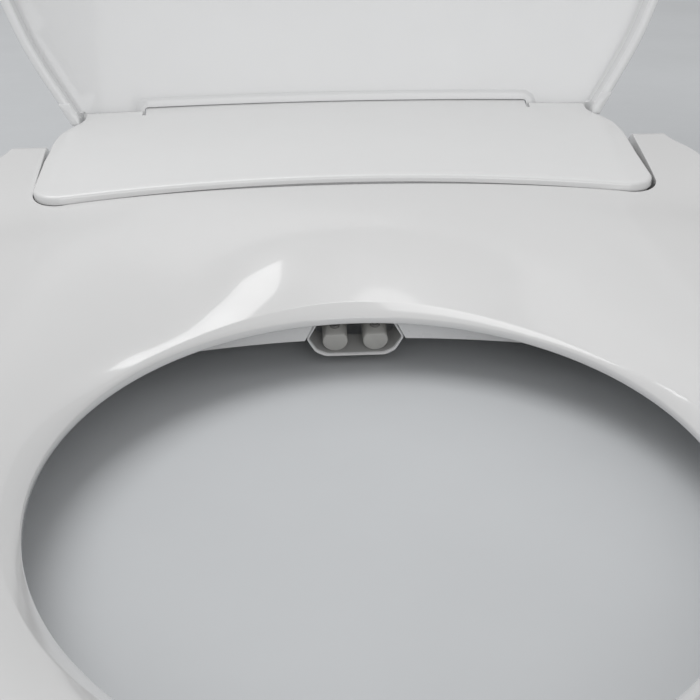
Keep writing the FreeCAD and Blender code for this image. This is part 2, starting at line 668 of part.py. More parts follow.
def drive_motor(side, label, drop):
    """Stepper motor beside the pinion, its bush around the shaft."""
    inner = 7.0
    can = Part.makeCylinder(12, 18, Vector(inner, 0, 0), Vector(1, 0, 0))
    bush = Part.makeCylinder(4, 2, Vector(inner - 2, 0, 0), Vector(1, 0, 0))
    solid = can.fuse(bush).cut(Part.makeCylinder(1.56, 12, Vector(inner - 3, 0, 0), Vector(1, 0, 0)))
    if side < 0:
        solid = solid.mirror(Vector(0, 0, 0), Vector(1, 0, 0))
    feature(f"{label}_drive_motor", solid, nozzle_place(side, dim("contact_reach"), -drop))


def nozzle_guide():
    """Trough that carries both nozzles, open below where the pinions reach the racks."""
    radius, pitch = dim("nozzle_radius"), dim("nozzle_spacing")
    start, end = 44.0, 100.0
    half = pitch / 2 + radius + 1.2
    reach = dim("contact_reach")
    block = Part.makeBox(2 * half, end - start, 11.0, Vector(-half, start, -10.0))
    for side in (-1, 1):
        x = side * pitch / 2
        block = block.cut(Part.makeCylinder(radius + 0.35, 200, Vector(x, 0, 0), Vector(0, 1, 0)))
        block = block.cut(Part.makeBox(2 * radius + 0.7, 200, 20, Vector(x - radius - 0.35, 0, 0)))
        block = block.cut(Part.makeBox(5.8, 200, 20, Vector(x - 2.9, 0, -7.6)))
        block = block.cut(Part.makeBox(7, 16, 20, Vector(x - 3.5, reach - 8, -20)))
        shaft_left = x - 3 if side > 0 else x - 11
        block = block.cut(Part.makeBox(14, 9, 24, Vector(shaft_left, reach - 4.5, -28)))
    return feature("nozzle_guide", block, Placement(Vector(0, dim("tip_y"), dim("tip_z")),
                                                    Rotation(Vector(1, 0, 0), dim("deck_angle"))))


def build_wash_unit():
    for side, label in ((-1, "rear_wash"), (1, "front_wash")):
        nozzle(side, label)
        drop = drive_pinion(side, label)
        drive_motor(side, label, drop)
    nozzle_guide()


# --- water and electrics inside the base ------------------------------------------------------------

def build_water_path():
    tank = box("tank_block", (70, 42, 26), (-130, -42, 9))
    boss = cylinder("tank_boss", 4, 8, (-82, -8, 24), "x")
    fillet = doc.addObject("Part::Fillet", "tank_rounded")
    fillet.Base = tank
    doc.recompute()
    fillet.Edges = [(n, 4.0, 4.0) for n in range(1, 13)]
    subpart(join("tank_joined", [fillet, boss]), "water_heater")
    subpart(cylinder("fuse_can", 6, 5, (-108, -20, 35.3)), "thermal_fuse")
    stub = turned("inlet_stub", [(4.5, 0), (8.0, 0), (8.0, 9.6), (14, 9.6), (14, 13), ("inlet_radius", 13),
                                 ("inlet_radius", 28), (6.5, 28), (6.5, 10), (4.5, 10)],
                  (-74, 69, 32), ("x", -90))
    subpart(stub, "inlet_fitting")
    subpart(turned("filter_cup", [(0, 0), (6.2, 0), (6.2, 8), (5.4, 8), (5.4, 1), (0, 1)],
                   (-74, 81, 32), ("x", -90)), "inlet_filter")
    subpart(turned("inlet_ring", [(8.3, 0), (13, 0), (13, 0.6), (8.3, 0.6)],
                   (-74, 77.85, 32), ("x", -90)), "inlet_gasket")
    valve = box("valve_block", (26, 22, 20), (-87, 40, 22))
    coil = cylinder("valve_coil", 9, 18, (-74, 51, 42.2))
    subpart(valve, "inlet_valve")
    subpart(coil, "valve_solenoid")
    subpart(join("flow_body", [box("flow_block", (24, 22, 18), (-56, -20, 9)),
                               cylinder("flow_neck", 3.2, 9, (-44, -9, 27))]), "flow_control_valve")
    subpart(cylinder("flow_motor", 10, 12, (-44, 13, 9)), "flow_valve_motor")
    subpart(turned("plug_screw", [(0, 0), (7, 0), (7, 8), (9.5, 8), (9.5, 12), (0, 12)],
                   (-44, 70, 26), ("x", -90)), "drain_plug")


def build_electrics():
    subpart(box("board_sheet", (92, 52, 1.6), (38, -40, 14.6)), "control_board")
    parts = [box("chip", (14, 14, 2), (60, -20, 16.3)), box("relay", (19, 15, 15), (84, -32, 16.3)),
             box("transformer", (28, 24, 16), (98, -12, 16.3)),
             cylinder("capacitor_one", 6, 18, (52, -30, 16.3)),
             cylinder("capacitor_two", 6, 18, (68, -31, 16.3)),
             box("heat_sink", (4, 34, 22), (46, -16, 16.3))]
    subpart(group("components_set", parts), "board_components")
    feet = [cylinder(f"standoff_{n}", 3, 7.3, (x, y, 7.1)) for n, (x, y) in
            enumerate(((42, -36), (126, -36), (42, 8), (126, 8)))]
    subpart(group("standoffs_set", feet), "board_standoffs")
    gland = turned("gland_body", [("cord_bore", 0), (6, 0), (6, 7.6), (9, 7.6), (9, 11), (6, 18),
                                  ("cord_bore", 18)],
                   (74, 70.2, 30), ("x", -90))
    subpart(gland, "cord_gland")
    names = ("power", "wash", "stop")
    for name, y in zip(names, (38, 50, 62)):
        cap = turned(f"{name}_cap", [(0, 0), (5, 0), (5, 0.8), (4, 0.8), (4, 4.3), (3.4, 4.9), (0, 4.9)],
                     (160, y, "tray_top - wall - 0.9"))
        subpart(cap, f"{name}_button")
    domes = [cylinder(f"dome_{n}", 3, 1.0, (160, y, 10.4)) for n, y in enumerate((38, 50, 62))]
    strip = box("dome_strip", (12, 36, 1.4), (154, 32, 9.0))
    subpart(join("domes_joined", [strip, *domes]), "button_dome_pad")
    subpart(box("switch_sheet", (14, 38, 1.6), (152.5, 31, 7.2)), "button_board")
    lens = turned("window_lens", [(0, 0), (3, 0), (3, 3.2), (0, 3.8)], (147.5, 50, 13.2))
    subpart(lens, "remote_receiver_window")
    sensor = box("sensor_pad", (26, 60, 1.2), (-175, -290, 17.7))
    subpart(sensor, "occupancy_sensor")


# --- mounting and hinges -----------------------------------------------------------------------------

def build_mounting():
    half, depth = "bracket_width / 2", "bracket_depth / 2"
    corners = [(f"-{half}", f"-{depth}"), (half, f"-{depth}"), (half, depth), (f"-{half}", depth)]
    plate = pad("bracket", corners, "bracket_thickness")
    holes = [cylinder(f"bolt_hole_{n}", "bolt_hole / 2", 10, (f"{side} * bolt_spacing / 2", 0, -2))
             for n, side in enumerate((-1, 1))]
    subpart(cut("bracket_drilled", plate, holes), "mounting_bracket")
    bar = box("release_bar", (70, 9, 4.4), (99, -4.5, 8.2))
    cap = box("release_cap", (4.0, 12.4, 5.0), (169.0, -6.2, 7.9))
    subpart(join("release_joined", [bar, cap]), "release_button")
    coil = []
    for k in range(6):
        ring = doc.addObject("Part::Torus", f"spring_turn_{k}")
        bind(ring, "Radius1", 2.0)
        bind(ring, "Radius2", 0.4)
        coil.append(place(ring, (91.0 + 1.1 * k, 0, 10.4), ("y", 90)))
    subpart(group("spring_set", coil), "release_spring")
    feet = [box(f"foot_{n}", (22, 12, 4.2), (x - 11, y - 6, 0)) for n, (x, y) in
            enumerate(((-140, -48), (140, -48), (-125, 60), (125, 60)))]
    subpart(group("feet_set", feet), "base_feet")
    screws = [turned(f"screw_{n}", [(0, 0), (3, 0), (3, 2), (1.6, 2), (1.6, 9.5), (0, 9.5)], (x, y, 2.4))
              for n, (x, y) in enumerate(((-120, -45), (120, -45), (-95, 66), (95, 66)))]
    subpart(group("screws_set", screws), "case_screws")


def build_hinges():
    seat_pins, seat_dampers, lid_pins, lid_dampers = [], [], [], []
    seat_line, lid_line = ("seat_axis_y", "seat_axis_z"), ("lid_axis_y", "lid_axis_z")
    for name, side in (("left", -1), ("right", 1)):
        start = 137 if side > 0 else -162
        seat_pins.append(cylinder(f"seat_pin_{name}", "seat_pin_radius", 25, (start, *seat_line), "x"))
        start = 110 if side > 0 else -136.6
        seat_dampers.append(cylinder(f"seat_damper_{name}", 10, 26.6, (start, *seat_line), "x"))
        start = 96 if side > 0 else -133.8
        lid_pins.append(cylinder(f"lid_pin_{name}", "lid_pin_radius", 37.8, (start, *lid_line), "x"))
        start = 70 if side > 0 else -95.8
        below_axis = (start, "lid_axis_y", "lid_axis_z - 0.6")
        lid_dampers.append(cylinder(f"lid_damper_{name}", 5.2, 25.8, below_axis, "x"))
    subpart(group("seat_pins_set", seat_pins), "seat_hinge_pins")
    subpart(group("seat_dampers_set", seat_dampers), "seat_dampers")
    subpart(group("lid_pins_set", lid_pins), "lid_hinge_pins")
    subpart(group("lid_dampers_set", lid_dampers), "lid_dampers")


# --- lid -----------------------------------------------------------------------------------------------

def lid_wire(inset=0.0):
    """Lid outline about its hinge axis: narrow foot, flared shoulders, round front."""
    half = dim("seat_half_width") + 0.5 - inset
    foot, toe = 142.5 - inset, -dim("lid_length") + inset
    shoulder = [Vector(foot, -14.6, 0), Vector(foot + 26, -60, 0), Vector(foot + 42, -110, 0),
                Vector(half, -185, 0)]
    flank = Part.BSplineCurve()
    flank.interpolate(shoulder, InitialTangent=Vector(0.52, -0.85, 0), FinalTangent=Vector(0, -1, 0))
    mirrored = Part.BSplineCurve()
    mirrored.interpolate([Vector(-p.x, p.y, 0) for p in shoulder],
                         InitialTangent=Vector(-0.52, -0.85, 0), FinalTangent=Vector(0, -1, 0))
    centre = dim("seat_centre_y") - dim("lid_axis_y")
    power = 2.3
    nose = []
    for k in range(25):
        angle = math.pi * (1 + k / 24)
        across, along = math.cos(angle), math.sin(angle)
        nose.append(Vector(math.copysign(abs(across) ** (2 / power), across) * half,
                           centre - abs(along) ** (2 / power) * (centre - toe), 0))
    front = Part.BSplineCurve()
    front.interpolate(nose)
    ends = [(Vector(half, centre, 0), Vector(half, -185, 0)),
            (Vector(-half, -185, 0), Vector(-half, centre, 0)),
            (Vector(foot, -14.6, 0), Vector(-foot, -14.6, 0))]
    edges = [front.toShape(), flank.toShape(), mirrored.toShape()]
    edges += [Part.LineSegment(a, b).toShape() for a, b in ends]
    return Part.Wire(Part.__sortEdges__(edges))


def lid_placement():
    turn = Rotation(Vector(1, 0, 0), -dim("lid_open_angle"))
    return Placement(Vector(0, dim("lid_axis_y"), dim("lid_axis_z")), turn)


def lid_arm():
    """Hooked hinge arm: a band round the panel's rear edge, a web and a hub on the hinge axis."""
    inner, outer = dim("arm_inner"), dim("arm_inner") + dim("arm_wall")
    left, right = dim("arm_left"), dim("arm_right")
    width = right - left
    first, last = 119.5, -5.0
    band = axis_cylinder(outer, left, right, 0, 0).cut(axis_cylinder(inner, left - 1, right + 1, 0, 0))
    wedge_points = [Vector(left - 1, 0, 0)]
    for k in range(9):
        angle = math.radians(last + (first - last) * k / 8)
        wedge_points.append(Vector(left - 1, 60 * math.cos(angle), 60 * math.sin(angle)))
    wedge = Part.Face(Part.makePolygon(wedge_points + wedge_points[:1])).extrude(Vector(width + 2, 0, 0))
    band = band.common(wedge)
    web = Part.makeBox(width, inner + 1, 5, Vector(left, 1, -2.5))
    web.rotate(Vector(0, 0, 0), Vector(1, 0, 0), -2.0)
    hub = axis_cylinder(dim("hub_radius"), left, right, 0, 0)
    heel = Part.makeBox(width, 14, outer - dim("lid_inner"), Vector(left, -30, dim("lid_inner")))
    bore = axis_cylinder(dim("lid_pin_radius") + dim("running_gap"), left - 1, right + 1, 0, 0)
    return band.fuse([web, hub, heel]).cut(bore)


def build_lid():
    inner, skin, depth = dim("lid_inner"), dim("lid_skin"), dim("rim_depth")
    outer = prism(lid_wire(), inner - depth, inner + skin)
    hollow = prism(lid_wire(dim("rim_width")), inner - depth - 5, inner)
    clear_half = 142.5 - dim("rim_width")
    trough = Part.makeBox(2 * clear_half, 20, depth + 5, Vector(-clear_half, -24, inner - depth - 5))
    centre_cut = Part.makeBox(2 * dim("leg_inner"), 40, 40, Vector(-dim("leg_inner"), -24.4, 0))
    shell = outer.cut(hollow).cut(trough).cut(centre_cut)
    arms = both_sides(lid_arm())
    shell = shell.cut(Part.Compound(arms))
    feature("lid_shell", largest(shell), lid_placement())
    feature("lid_hinge_arms", Part.Compound(arms), lid_placement())
    pads = [Part.makeCylinder(6, 9, Vector(x, y, inner - 9.1)) for x, y in
            ((-150, -230), (150, -230), (-100, -440), (100, -440))]
    feature("lid_bumpers", Part.Compound(pads), lid_placement())


# --- document ----------------------------------------------------------------------------------------

def export():
    """Check every object and write one STEP file for each sub-part."""
    doc.recompute()
    os.makedirs("parts", exist_ok=True)
    for name in os.listdir("parts"):
        os.remove(os.path.join("parts", name))
    failed = [thing.Name for thing in doc.Objects if {"Invalid", "Error"} & set(thing.State)]
    for thing in SUBPARTS:
        if thing.Shape.isNull() or not thing.Shape.isValid() or not thing.Shape.Solids:
            failed.append(thing.Label)
    if failed:
        raise RuntimeError(f"failed objects: {failed}")
    for thing in SUBPARTS:
        thing.Shape.exportStep(f"parts/{thing.Label}.step")
        span = thing.Shape.BoundBox
        count, volume = len(thing.Shape.Solids), thing.Shape.Volume / 1000
        print(f"{thing.Label:26s} solids {count:2d} volume {volume:8.2f} cm3"
              f"  x {span.XMin:7.1f} {span.XMax:7.1f}  y {span.YMin:7.1f} {span.YMax:7.1f}"
              f"  z {span.ZMin:6.1f} {span.ZMax:6.1f}")


build_seat()
build_case()
build_wash_unit()
build_water_path()
build_electrics()
build_mounting()
build_hinges()
build_lid()
export()
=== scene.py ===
"""Looks of the electric bidet seat: glossy moulded shells, wash nozzles, studio and camera."""
import json
import math

import bmesh
import bpy
import numpy as np
from mathutils import Matrix, Vector
from mathutils.geometry import delaunay_2d_cdt


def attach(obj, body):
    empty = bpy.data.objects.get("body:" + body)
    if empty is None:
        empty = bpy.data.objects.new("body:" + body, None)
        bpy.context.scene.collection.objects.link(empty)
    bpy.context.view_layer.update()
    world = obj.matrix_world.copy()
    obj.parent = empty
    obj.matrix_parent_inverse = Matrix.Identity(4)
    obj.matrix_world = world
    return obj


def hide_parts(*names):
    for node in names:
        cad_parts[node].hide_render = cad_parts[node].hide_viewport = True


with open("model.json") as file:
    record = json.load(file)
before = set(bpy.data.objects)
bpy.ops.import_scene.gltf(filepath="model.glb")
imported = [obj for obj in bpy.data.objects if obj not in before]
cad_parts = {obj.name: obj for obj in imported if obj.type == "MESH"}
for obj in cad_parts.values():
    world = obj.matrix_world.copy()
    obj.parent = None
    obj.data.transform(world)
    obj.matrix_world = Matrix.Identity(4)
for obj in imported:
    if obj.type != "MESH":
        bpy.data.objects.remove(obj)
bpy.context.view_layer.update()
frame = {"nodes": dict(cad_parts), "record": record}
MM = 0.001  # shapes below are worked out in millimetres

# --- sizes of the visible shells, millimetres -----------------------------------------------------
CENTRE_Y = -262.6
OPEN_HALF, OPEN_REAR, OPEN_FRONT = 110.9, 136.3, 142.0
SEAT_HALF, SEAT_FRONT = 190.0, 205.0
EDGE_LOW, BAND_TOP, FLANK_SLOPE = 23.6, 26.5, 0.91
RING_TOP, RISE, RISE_START, SOFT = 44.0, 0.16, -145.0, 22.0
CROWN, FALL, DIP = 0.52, 14.0, 1.6
SEAT_AXIS = (5.0, 45.0)
EAR_RADIUS, EAR_INNER, EAR_FRONT, BOW_GAP = 25.0, 150.3, -30, 0.6
BAY_SIDE, BAY_FRONT, SKIRT_LOW = 151, -75, 17.6
SEAT_EDGE, EAR_EDGE, BAY_EDGE = 4.0, 0.8, 0.45  # radii of the seat's upper edges
BAY_PLAY, PANEL_PLAY = 1.1, 1.1  # how far the left side of the seat's bay and of the panel is shifted
PANEL_FRONT, PANEL_BOW = -40.2, 15.2
PANEL_Z, PANEL_SLOPE, PANEL_CROWN, PANEL_SKIN = 64.5, 0.115, 2.5, 3.4
LEG_INNER, LEG_OUTER, LEG_EDGE, PANEL_REAR = 104.0, 135.3, 64.5, 79.0
DECK_Z, DECK_FRONT, DECK_RUN, DECK_GAP = 20.5, -114.0, math.tan(math.radians(19)), 3.4
LID_AXIS, LID_ANGLE, LID_REAR = (36.0, 62.0), -105.0, -14.6
LID_INNER, LID_SKIN, RIM_DEPTH, RIM_WIDTH, LID_TOE = 27.25, 3.85, 16.15, 5.0, -505.0
NOZZLE_R, NOZZLE_PITCH, TIP, TIP_LENGTH, TIP_FLAT = 5.45, 17.5, (-114.5, 10.7), 22.0, 3.9
NOZZLE_TILT = math.radians(19)


# --- mesh helpers ---------------------------------------------------------------------------------

def superellipse(half, reach, power, start, stop, count, centre_y=CENTRE_Y):
    """Points of a squared-off ellipse between two angles."""
    angle = np.linspace(start, stop, count)
    c, s = np.cos(angle), np.sin(angle)
    return np.stack([half * np.sign(c) * np.abs(c) ** (2 / power),
                     centre_y + reach * np.sign(s) * np.abs(s) ** (2 / power)], 1)


def resample(points, spacing, closed=False):
    """Evenly spaced points along a path."""
    points = np.asarray(points, float)
    if closed:
        points = np.vstack([points, points[:1]])
    run = np.concatenate([[0], np.cumsum(np.hypot(*np.diff(points, axis=0).T))])
    count = max(2, int(round(run[-1] / spacing)))
    at = np.linspace(0, run[-1], count + 1)
    out = np.stack([np.interp(at, run, points[:, k]) for k in (0, 1)], 1)
    return out[:-1] if closed else out


def spline(points, per_span=24):
    """Catmull-Rom curve through a few points."""
    p = np.asarray(points, float)
    p = np.vstack([2 * p[0] - p[1], p, 2 * p[-1] - p[-2]])
    t = np.linspace(0, 1, per_span, endpoint=False)[:, None]
    parts = []
    for a, b, c, d in zip(p, p[1:], p[2:], p[3:]):
        parts.append(0.5 * (2 * b + (c - a) * t + (2 * a - 5 * b + 4 * c - d) * t ** 2
                            + (3 * b - a - 3 * c + d) * t ** 3))
    return np.vstack(parts + [p[-2:-1]])


def corner(before, at, after, radius, count=12):
    """Arc that rounds one corner of a path."""
    a, b = np.subtract(before, at), np.subtract(after, at)
    a, b = a / np.linalg.norm(a), b / np.linalg.norm(b)
    half = math.acos(np.clip(a @ b, -1, 1)) / 2
    centre = np.add(at, (a + b) / np.linalg.norm(a + b) * radius / math.sin(half))
    first = np.add(at, a * radius / math.tan(half)) - centre
    last = np.add(at, b * radius / math.tan(half)) - centre
    turn = math.atan2(first[0] * last[1] - first[1] * last[0], first @ last)
    return np.array([centre + (math.cos(k) * first + math.sin(k) * np.array([-first[1], first[0]]))
                     for k in np.linspace(0, turn, count)])


def mirrored(path):
    """The path's mirror image, run the other way."""
    return (np.asarray(path) * (-1, 1))[::-1]


def inward(loop):
    """Unit normals of a closed loop, pointing to its left."""
    ahead = np.roll(loop, -1, 0) - np.roll(loop, 1, 0)
    ahead /= np.hypot(*ahead.T)[:, None]
    return np.stack([-ahead[:, 1], ahead[:, 0]], 1)


def inside(points, loop):
    """Which points lie within a closed loop."""
    x, y = points[:, 0], points[:, 1]
    hit = np.zeros(len(points), bool)
    for (x0, y0), (x1, y1) in zip(loop, np.roll(loop, -1, 0)):
        if y0 != y1:
            hit ^= ((y0 > y) != (y1 > y)) & (x < (x1 - x0) * (y - y0) / (y1 - y0) + x0)
    return hit


def nearest(points, loop):
    """Distance from each point to the closest point of a loop."""
    out = np.full(len(points), 1e9)
    for q in loop:
        out = np.minimum(out, np.hypot(points[:, 0] - q[0], points[:, 1] - q[1]))
    return out


class Skin:
    """A closed mesh put together from rings of points and height sheets between them."""

    def __init__(self):
        self.verts, self.faces = [], []

    def ring(self, xy, z):
        start = len(self.verts)
        z = np.broadcast_to(z, len(xy))
        self.verts += [(float(p[0]), float(p[1]), float(h)) for p, h in zip(xy, z)]
        return list(range(start, start + len(xy)))

    def wall(self, a, b):
        """Quads between two rings of the same length; the outside is on the right of a to b."""
        count = len(a)
        for k in range(count):
            n = (k + 1) % count
            self.faces.append((a[k], a[n], b[n], b[k]))

    def walls(self, rings):
        for a, b in zip(rings, rings[1:]):
            self.wall(a, b)

    def sheet(self, outer, holes, height, spacing, clear, up=True):
        """Triangulated sheet between rings, its inner points on a height function."""
        loops = [outer] + holes
        edge = [[self.verts[k][:2] for k in ring] for ring in loops]
        low, high = np.min(edge[0], 0), np.max(edge[0], 0)
        gx = np.arange(low[0], high[0], spacing)
        gy = np.arange(low[1], high[1], spacing * 0.866)
        grid = np.array([(x + (spacing / 2 if row % 2 else 0), y)
                         for row, y in enumerate(gy) for x in gx])
        grid = grid[inside(grid, np.array(edge[0]))]
        for hole in edge[1:]:
            grid = grid[~inside(grid, np.array(hole))]
        for ring in edge:
            grid = grid[nearest(grid, np.array(ring)) > clear]
        flat, lines, ids = [], [], []
        for ring in loops:
            first = len(flat)
            flat += [Vector(self.verts[k][:2]) for k in ring]
            ids += ring
            lines += [(first + k, first + (k + 1) % len(ring)) for k in range(len(ring))]
        ids += self.ring(grid, [height(x, y) for x, y in grid])
        flat += [Vector(p) for p in grid]
        points, _, faces, origins, _, _ = delaunay_2d_cdt(flat, lines, [], 0, 1e-5)
        where = [ids[o[0]] if o else None for o in origins]
        solid = np.array(edge[0])
        gaps = [np.array(hole) for hole in edge[1:]]
        middles = np.array([np.mean([points[k][:] for k in face], 0) for face in faces])
        keep = inside(middles, solid)
        for hole in gaps:
            keep &= ~inside(middles, hole)
        for face, good in zip(faces, keep):
            corners = [where[k] for k in face]
            if good and None not in corners:
                a, b, c = (points[k] for k in face[:3])
                turn = (b - a).cross(c - a)
                if (turn > 0) != up:
                    corners.reverse()
                self.faces.append(tuple(corners))

    def build(self, name, body, slot, material, matrix=None, replaces=(), flat_angle=None):
        """Blender object of the mesh, in metres, riding on a body."""
        mesh = bpy.data.meshes.new(name)
        scaled = [(x * MM, y * MM, z * MM) for x, y, z in self.verts]
        mesh.from_pydata(scaled, [], self.faces)
        if matrix is not None:
            mesh.transform(matrix)
        mesh.validate()
        work = bmesh.new()
        work.from_mesh(mesh)
        loose = [v for v in work.verts if not v.link_faces]
        bmesh.ops.delete(work, geom=loose, context="VERTS")
        bmesh.ops.recalc_face_normals(work, faces=work.faces)
        work.to_mesh(mesh)
        work.free()
        mesh.polygons.foreach_set("use_smooth", [True] * len(mesh.polygons))
        thing = bpy.data.objects.new(name, mesh)
        bpy.context.scene.collection.objects.link(thing)
        if flat_angle:
            mesh.set_sharp_from_angle(angle=math.radians(flat_angle))
        mesh.materials.append(material)
        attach(thing, body)
        if replaces:
            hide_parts(*replaces)


def quarter(count):
    """Steps round an edge, as (inward, down) parts of its radius."""
    angle = np.linspace(0, math.pi / 2, count)
    return list(zip(1 - np.cos(angle), 1 - np.sin(angle)))


# --- materials ------------------------------------------------------------------------------------

def material(name, color, rough, metal=0.0, coat=0.0, bump=0.0, grain=400.0, vary=0.04, shade=0.02):
    """Procedural finish: colour drift, roughness variation and a fine moulded or worked grain."""
    thing = bpy.data.materials.new(name)
    thing.use_nodes = True
    tree = thing.node_tree
    nodes, links = tree.nodes, tree.links
    shader = nodes["Principled BSDF"]
    shader.inputs["Metallic"].default_value = metal
    shader.inputs["Coat Weight"].default_value = coat
    shader.inputs["Coat Roughness"].default_value = 0.04
    shader.inputs["IOR"].default_value = 1.49
    place = nodes.new("ShaderNodeTexCoord")

    def noise(scale, detail):
        texture = nodes.new("ShaderNodeTexNoise")
        texture.inputs["Scale"].default_value = scale
        texture.inputs["Detail"].default_value = detail
        links.new(place.outputs["Object"], texture.inputs["Vector"])
        return texture.outputs["Fac"]

    def spread(value, low, high):
        ramp = nodes.new("ShaderNodeMapRange")
        ramp.inputs["From Min"].default_value = 0.3
        ramp.inputs["From Max"].default_value = 0.7
        ramp.inputs["To Min"].default_value = low
        ramp.inputs["To Max"].default_value = high
        links.new(value, ramp.inputs["Value"])
        return ramp.outputs["Result"]

    mix = nodes.new("ShaderNodeMix")
    mix.data_type = "RGBA"
    mix.inputs["A"].default_value = (*[c * (1 - shade) for c in color], 1)
    mix.inputs["B"].default_value = (*[min(1, c * (1 + shade)) for c in color], 1)
    links.new(spread(noise(9.0, 3.0), 0, 1), mix.inputs["Factor"])
    links.new(mix.outputs["Result"], shader.inputs["Base Color"])
    links.new(spread(noise(60.0, 4.0), max(0.02, rough - vary), rough + vary), shader.inputs["Roughness"])
    if bump:
        height = nodes.new("ShaderNodeBump")
        height.inputs["Strength"].default_value = bump
        height.inputs["Distance"].default_value = 0.0004
        links.new(noise(grain, 2.0), height.inputs["Height"])
        links.new(height.outputs["Normal"], shader.inputs["Normal"])
    return thing


WHITE = (0.67, 0.67, 0.67)
seat_gloss = material("seat_gloss", WHITE, 0.2, coat=0.6, bump=0.02, grain=220, vary=0.03, shade=0.008)
panel_gloss = material("panel_gloss", (0.74, 0.742, 0.742), 0.22,
                       coat=0.5, bump=0.04, grain=260, vary=0.03, shade=0.01)
lid_gloss = material("lid_gloss", (0.73, 0.735, 0.74), 0.24,
                     coat=0.35, bump=0.04, grain=240, vary=0.03, shade=0.01)
body_satin = material("body_satin", (0.72, 0.722, 0.725), 0.3,
                      coat=0.15, bump=0.08, grain=700, vary=0.05, shade=0.012)
nozzle_matte = material("nozzle_matte", (0.48, 0.475, 0.455), 0.42,
                        bump=0.12, grain=1500, vary=0.06, shade=0.03)
black_nylon = material("black_nylon", (0.035, 0.036, 0.04), 0.5,
                       bump=0.25, grain=1800, vary=0.08, shade=0.15)
steel = material("steel", (0.56, 0.57, 0.58), 0.3,
                 metal=1.0, bump=0.1, grain=2200, vary=0.08, shade=0.05)
brass = material("brass", (0.70, 0.52, 0.25), 0.28,
                 metal=1.0, bump=0.1, grain=1500, vary=0.08, shade=0.08)
rubber = material("rubber", (0.42, 0.43, 0.43), 0.7, bump=0.3, grain=1600, vary=0.08, shade=0.05)
laminate = material("laminate", (0.03, 0.17, 0.08), 0.35, bump=0.1, grain=1300, vary=0.06, shade=0.1)
moulded_grey = material("moulded_grey", (0.10, 0.10, 0.11), 0.45,
                        bump=0.2, grain=1500, vary=0.08, shade=0.2)
foil = material("foil", (0.72, 0.73, 0.74), 0.28, metal=1.0, bump=0.4, grain=320, vary=0.08, shade=0.04)
button_satin = material("button_satin", (0.60, 0.61, 0.62), 0.34,
                        bump=0.08, grain=1200, vary=0.05, shade=0.02)
# painted shade: dark grey for the tunnel inside the nozzle mouth, standing for the shadow there
tunnel_painted_shade = material("tunnel_painted_shade", (0.40, 0.40, 0.395), 0.4,
                       bump=0.1, grain=900, vary=0.06, shade=0.04)
# painted shade: near-black for the spray ports, standing for the shadow inside the holes
port_painted_shade = material("port_painted_shade", (0.16, 0.155, 0.15), 0.4, bump=0.1, grain=1500, vary=0.05, shade=0.1)
lens_dark = material("lens_dark", (0.03, 0.02, 0.03), 0.08,
                     coat=0.6, bump=0.02, grain=300, vary=0.03, shade=0.2)

FINISHES = {"seat_white": seat_gloss, "panel_white": panel_gloss, "lid_white": lid_gloss,
            "base_white": body_satin, "nozzle_grey": nozzle_matte, "inner_black": black_nylon,
            "motor_steel": steel, "brass": brass,
            "rubber_grey": rubber, "board_green": laminate, "component_mix": moulded_grey, "foil": foil,
            "button_grey": button_satin}


def dress_cad_nodes():
    """Give every CAD node its slot's finish."""
    slots = {part["node"]: part["material_slot"] for part in frame["record"]["subparts"]}
    for name, thing in frame["nodes"].items():
        finish = lens_dark if name == "remote_receiver_window" else FINISHES[slots[name]]
        thing.data.materials.clear()
        thing.data.materials.append(finish)


# --- seat ring ------------------------------------------------------------------------------------

def opening_loop(count=288):
    """The opening's edge, run so that the seat lies on its left."""
    angle = np.linspace(0, 2 * math.pi, count, endpoint=False)[::-1]
    reach = np.where(np.sin(angle) >= 0, OPEN_REAR, OPEN_FRONT)
    return np.stack([OPEN_HALF * np.cos(angle), CENTRE_Y + reach * np.sin(angle)], 1)


def flank_width(x, y):
    """Width of the slanted flank beside the opening: wide at the rear middle and along the sides."""
    away = abs(math.degrees(math.atan2(y - CENTRE_Y, x)) - 90)
    away = min(away, 360 - away)
    side = min(max((away - 45) / 40, 0), 1)
    return 1.9 + 3.6 * math.exp(-(away / 24) ** 2) + 4.1 * side * side * (3 - 2 * side)


def crease_height(x, y):
    """Height where the flank meets the seat's top surface: low where the flank is narrow."""
    return BAND_TOP + FLANK_SLOPE * flank_width(x, y)


def polar_reach(x, y, half, rear, front, power_rear, power_front):
    """Distance from the seat's centre to a curve in the direction of a point."""
    reach, power = (rear, power_rear) if y >= CENTRE_Y else (front, power_front)
    length = math.hypot(x, y - CENTRE_Y)
    across, along = abs(x) / length, abs(y - CENTRE_Y) / length
    return ((across / half) ** power + (along / reach) ** power) ** (-1 / power)


def seat_height(x, y):
    """Top surface of the seat: crested ring, rising rear platform, falling outer edge, rounded ears."""
    inner = polar_reach(x, y, OPEN_HALF, OPEN_REAR, OPEN_FRONT, 2, 2) + flank_width(x, y)
    outer = polar_reach(x, y, SEAT_HALF, 30 - CENTRE_Y, SEAT_FRONT, 4.6, 2.3)
    part = (math.hypot(x, y - CENTRE_Y) - inner) / (outer - inner)
    rise = 1 - ((CROWN - part) / CROWN) ** 2 if part < CROWN else 1.0
    crest = RING_TOP + RISE * SOFT * math.log1p(math.exp((y - RISE_START) / SOFT))
    fall = FALL * min(max((part - CROWN) / (1 - CROWN), 0), 1.3) ** 2.5
    on_ring = 1 / (1 + math.exp((y + 75) / 18))
    crease = crease_height(x, y)
    top = crease + (crest - crease) * rise - fall * on_ring
    top -= DIP * (x / 130) ** 2 * math.exp(-((y + 62) / 22) ** 2)
    behind = y - SEAT_AXIS[0]
    if behind > 0:
        top = min(top, SEAT_AXIS[1] + math.sqrt(max(EAR_RADIUS ** 2 - behind ** 2, 0)))
    return top


